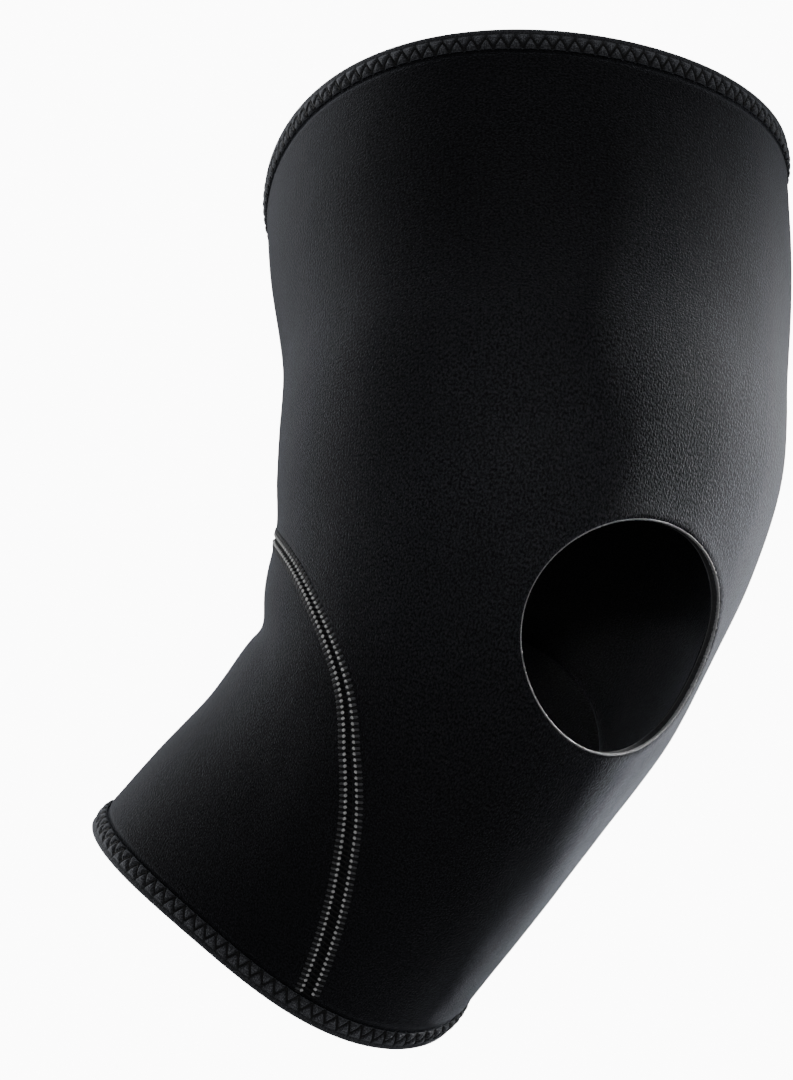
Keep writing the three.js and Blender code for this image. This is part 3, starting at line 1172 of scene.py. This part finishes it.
class SLEEVE_OT_raw_edge(bpy.types.Operator):
    """Lays the thin raw edge of the facing round the kneecap opening: a mid grey ring, partly cut
    fibres and partly painted highlight
    """

    bl_idname = "sleeve.raw_edge"
    bl_label = "Raw edge"

    def execute(self, context):
        steps, sides = 800, 8
        bm = plain_grid(steps, sides)
        verts = list(bm.verts)
        at = grid_shares(verts)
        line = opening_line(steps)
        index = np.round(at[:, 0] * steps).astype(int) % steps
        spin = (at[:, 1] * TURN)[:, None]
        middle = wrapped(line[:-1], -0.42 * MM)[index]
        out = normals_at(line[:-1, 1], around_of(line[:-1]))[index]
        inwards = opening_middle(line)[index]
        thick = self.thickness(index * TURN / steps, middle)[:, None]
        spots = middle + inwards * thick * np.cos(spin) + out * thick * 1.5 * np.sin(spin)
        move_to(verts, spots)
        bmesh.ops.remove_doubles(bm, verts=list(bm.verts), dist=1e-7)
        smooth_outwards(bm)
        piece = finished(bm, "opening_raw_edge", [named_material("raw_edge")])
        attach(piece, "root")
        return {"FINISHED"}

    def thickness(self, turns, middle):
        """Ragged all round, and thinner towards the -X side."""
        teeth = 60
        waved = [Vector((math.cos(a) * teeth, math.sin(a) * teeth, 2.0)) for a in turns]
        ragged = np.array([noise.noise(place) for place in waved])
        side = (middle[:, 0].mean() - middle[:, 0]) / np.ptp(middle[:, 0]) * 2
        thinning = 1 - 0.6 * np.clip(side, 0, 1) ** 2
        return (0.34 + 0.2 * ragged) * thinning * MM


def opening_middle(line):
    """Directions on the surface from each point of the opening's edge into the opening."""
    spots = wrapped(line)
    forward = unit(spots[1:] - np.roll(spots[:-1], 1, axis=0))
    side = np.cross(normals_at(line[:-1, 1], around_of(line[:-1])), forward)
    to_middle = spots[:-1].mean(0) - spots[:-1]
    return side * np.sign((side * to_middle).sum(1))[:, None]


# Studio

# aside and up are degrees from the camera's side of the origin, and a light is aimed at a height
# on the Z axis. The narrow spreads light the right edge and the knee alone.
LIGHTS = table(
    "name aside up away size spread power aim",
    ("right_rim", 108, 28, 0.6, 0.12, 18, 0.23, -0.01),
    ("right_soft", 96, 5, 1.5, 0.8, 180, 1.2, 0),
    ("left_rim", -114, 20, 0.9, 0.5, 180, 3.9, 0.04),
    ("front_fill", -10, -20, 2.0, 1.2, 180, 8.5, 0),
    ("knee_fill", 4, -8, 0.7, 0.1, 15, 0.014, 0.022),
    ("top", 30, 70, 1.6, 1.2, 180, 3, 0),
)


def direction(azimuth, elevation):
    """Unit direction from the origin, with azimuth 0 at the front and rising towards +X."""
    level = math.cos(elevation)
    return Vector((math.sin(azimuth) * level, -math.cos(azimuth) * level, math.sin(elevation)))


class SleeveStudio(bpy.types.PropertyGroup):
    """Camera and lights, with directions seen from the origin."""

    azimuth: angle("Azimuth", -44.6, "Direction of the camera round the sleeve")
    elevation: angle("Elevation", -24.3, "Height of the camera's direction")
    roll: angle("Roll", 0.4, "Turn of the camera about its view")
    distance: length("Distance", 1400, "From the origin to the camera")
    focal_pixels: pixels("Focal length", 4662, "In pixels of the photograph")
    centre_x: pixels("Centre X", 515.7, "Pixel where the origin shows")
    centre_y: pixels("Centre Y", 594.7, "Pixel where the origin shows")
    floor_height: length("Floor height", -800, "Height of the floor")


class SLEEVE_OT_stage(bpy.types.Operator):
    """Sets the floor, the lights, the white world and the camera"""

    bl_idname = "sleeve.stage"
    bl_label = "Stage"

    def execute(self, context):
        self.floor()
        self.world(context)
        self.camera(context)
        self.lights()
        return {"FINISHED"}

    def floor(self):
        cells, half_size = 8, 6
        bm = bmesh.new()
        bmesh.ops.create_grid(bm, x_segments=cells, y_segments=cells, size=half_size)
        bmesh.ops.translate(bm, verts=list(bm.verts), vec=(0, 0, studio().floor_height))
        g = Graph("pale_floor")
        place = g.node("ShaderNodeTexCoord").outputs["Object"]
        g.blend(g.noise(place, 1 / 3), Vector(colours().floor) * 0.96, colours().floor)
        g.set(Roughness=0.8)
        finished(bm, "floor", [g.material])

    def world(self, context):
        """White to the eye, and dim as a light, as a studio's distant white wall is."""
        world = bpy.data.worlds.new("studio")
        world.use_nodes = True
        context.scene.world = world
        nodes, links = world.node_tree.nodes, world.node_tree.links
        light_strength, seen_strength = 0.045, 14.0
        dim = nodes["Background"]
        dim.inputs["Color"].default_value = (0.93, 0.95, 1.0, 1.0)
        dim.inputs["Strength"].default_value = light_strength
        bright = nodes.new("ShaderNodeBackground")
        bright.inputs["Strength"].default_value = seen_strength
        path = nodes.new("ShaderNodeLightPath")
        either = nodes.new("ShaderNodeMixShader")
        links.new(path.outputs["Is Camera Ray"], either.inputs[0])
        links.new(dim.outputs[0], either.inputs[1])
        links.new(bright.outputs[0], either.inputs[2])
        links.new(either.outputs[0], nodes["World Output"].inputs["Surface"])

    def camera(self, context):
        back = direction(studio().azimuth, studio().elevation)
        right = (-back).cross(Vector((0, 0, 1))).normalized()
        up = right.cross(-back)
        roll = studio().roll
        rolled_right = right * math.cos(roll) + up * math.sin(roll)
        rolled_up = up * math.cos(roll) - right * math.sin(roll)
        data = bpy.data.cameras.new("photo_camera")
        camera = bpy.data.objects.new("photo_camera", data)
        columns = (rolled_right, rolled_up, back, back * studio().distance)
        rows = [[column[k] for column in columns] for k in range(3)]
        camera.matrix_world = Matrix((*rows, (0, 0, 0, 1)))
        data.sensor_fit = "VERTICAL"
        sensor_millimetres = 36
        data.sensor_height = sensor_millimetres
        data.lens = studio().focal_pixels / PHOTO_HEIGHT * sensor_millimetres
        data.shift_x = (PHOTO_WIDTH / 2 - studio().centre_x) / PHOTO_HEIGHT
        data.shift_y = (studio().centre_y - PHOTO_HEIGHT / 2) / PHOTO_HEIGHT
        context.scene.collection.objects.link(camera)
        context.scene.camera = camera

    def lights(self):
        """An area light for each row of the table."""
        for row in LIGHTS:
            azimuth = studio().azimuth + math.radians(row["aside"])
            away = direction(azimuth, math.radians(row["up"]))
            data = bpy.data.lights.new(row["name"], "AREA")
            data.size = row["size"]
            data.spread = math.radians(row["spread"])
            data.energy = row["power"]
            light = bpy.data.objects.new(row["name"], data)
            light.location = away * row["away"] + Vector((0, 0, row["aim"]))
            light.rotation_euler = away.to_track_quat("Z", "Y").to_euler()
            bpy.context.scene.collection.objects.link(light)


class SLEEVE_PT_panel(bpy.types.Panel):
    """Lists the sizes, the colours and the steps that build the sleeve"""

    bl_idname = "SLEEVE_PT_panel"
    bl_label = "Knee sleeve"
    bl_space_type = "VIEW_3D"
    bl_region_type = "UI"
    bl_category = "Sleeve"

    def draw(self, context):
        layout = self.layout
        for group in (form(), stitches(), colours(), studio()):
            box = layout.box()
            for key in group.__annotations__:
                box.prop(group, key)
        for operator in OPERATORS:
            layout.operator(operator.bl_idname)


GROUPS = {
    "sleeve_form": SleeveForm,
    "sleeve_stitches": SleeveStitches,
    "sleeve_colours": SleeveColours,
    "sleeve_studio": SleeveStudio,
}
OPERATORS = [
    SLEEVE_OT_stage,
    SLEEVE_OT_front_panel,
    SLEEVE_OT_calf_panel,
    SLEEVE_OT_bindings,
    SLEEVE_OT_seam_threads,
    SLEEVE_OT_raw_edge,
]


def register():
    for name, group in GROUPS.items():
        bpy.utils.register_class(group)
        setattr(bpy.types.Scene, name, PointerProperty(type=group))
    for item in (*OPERATORS, SLEEVE_PT_panel):
        bpy.utils.register_class(item)


def unregister():
    for item in (SLEEVE_PT_panel, *reversed(OPERATORS)):
        bpy.utils.unregister_class(item)
    for name, group in GROUPS.items():
        delattr(bpy.types.Scene, name)
        bpy.utils.unregister_class(group)


def main():
    register()
    bpy.ops.sleeve.stage()
    bpy.ops.sleeve.front_panel()
    bpy.ops.sleeve.calf_panel()
    bpy.ops.sleeve.bindings()
    bpy.ops.sleeve.seam_threads()
    bpy.ops.sleeve.raw_edge()


if __name__ == "__main__":
    main()
